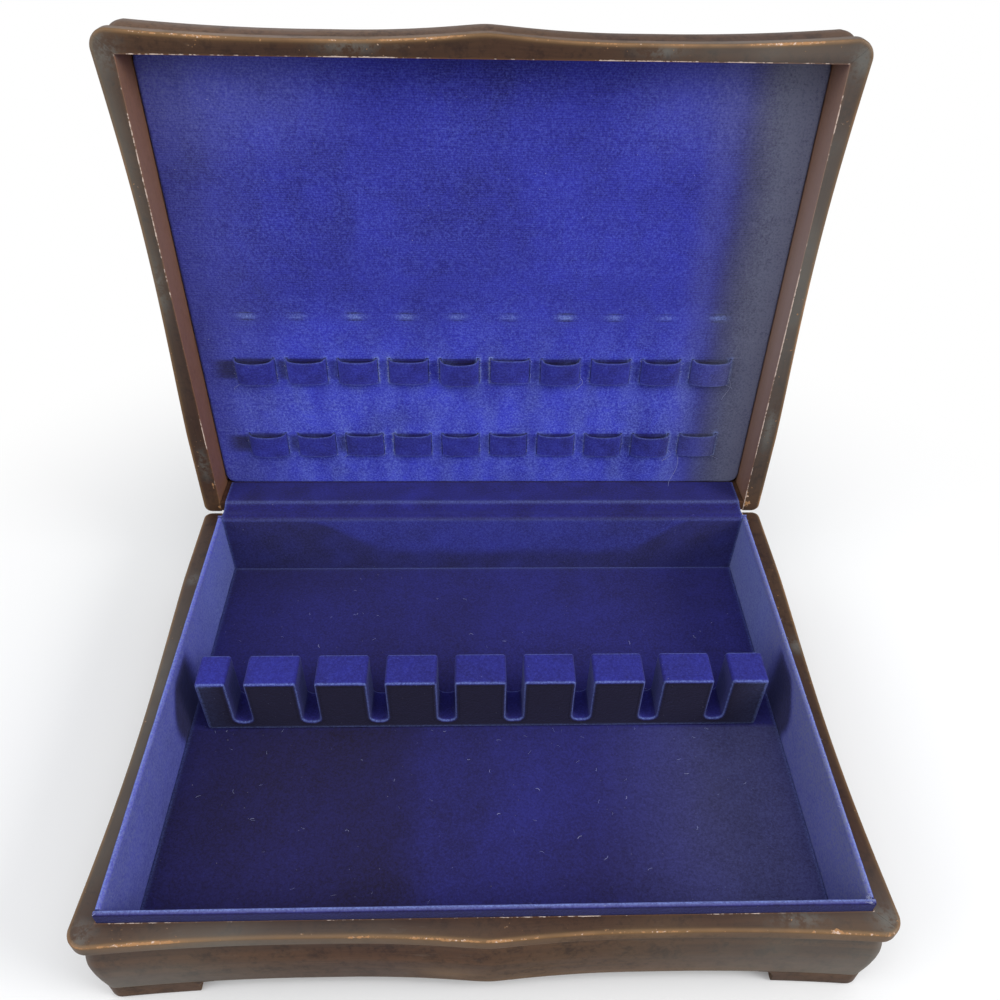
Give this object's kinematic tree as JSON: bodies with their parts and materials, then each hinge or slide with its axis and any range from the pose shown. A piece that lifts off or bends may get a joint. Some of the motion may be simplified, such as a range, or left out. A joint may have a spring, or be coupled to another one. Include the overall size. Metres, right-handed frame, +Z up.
{
  "type": "silverware chest",
  "caption": "Lift-lid flatware chest with serpentine moulded sides, a velvet slotted rack in the base and rows of velvet knife loops inside the lid.",
  "frame": {"origin": "on the table plane, under the middle of the bounding box with the lid open", "axes": "+X to the chest's right seen from the front, +Y from the front towards the hinges, +Z up from the table"},
  "size_m": [0.4014, 0.3618, 0.3756],
  "materials": {
    "wood": "dark mahogany stain under worn satin lacquer",
    "wood_bare": "unlacquered stained panel",
    "velvet": "short pile royal blue velvet",
    "velvet_light": "short pile royal blue velvet, faded",
    "brass": "dull plated brass"
  },
  "bodies": {
    "base": {"base_front": "wood", "base_left": "wood", "base_right": "wood", "base_back": "wood", "base_bottom": "wood_bare", "foot_front_left": "wood", "foot_front_right": "wood", "foot_back_left": "wood", "foot_back_right": "wood", "liner_front": "velvet", "liner_back": "velvet", "liner_left": "velvet", "liner_right": "velvet", "floor_pad": "velvet", "silver_rack": "velvet", "hinge_flap": "velvet", "left_hinge_base_leaf": "brass", "left_hinge_pin": "brass", "left_base_screw_1": "brass", "left_base_screw_2": "brass", "right_hinge_base_leaf": "brass", "right_hinge_pin": "brass", "right_base_screw_1": "brass", "right_base_screw_2": "brass"},
    "lid": {"lid_front": "wood", "lid_left": "wood", "lid_right": "wood", "lid_back": "wood", "lid_top": "wood", "lid_panel": "velvet_light", "upper_loop_band": "velvet_light", "lower_loop_band": "velvet_light", "left_hinge_lid_leaf": "brass", "left_lid_screw_1": "brass", "left_lid_screw_2": "brass", "right_hinge_lid_leaf": "brass", "right_lid_screw_1": "brass", "right_lid_screw_2": "brass"}
  },
  "joints": [
    {"name": "lid_hinge", "type": "hinge", "parent": "base", "child": "lid", "pos_m": [0, 0.12709, 0.06815], "axis": [1, 0, 0], "range_deg": [0, 93], "deforming": ["hinge_flap"]}
  ]
}
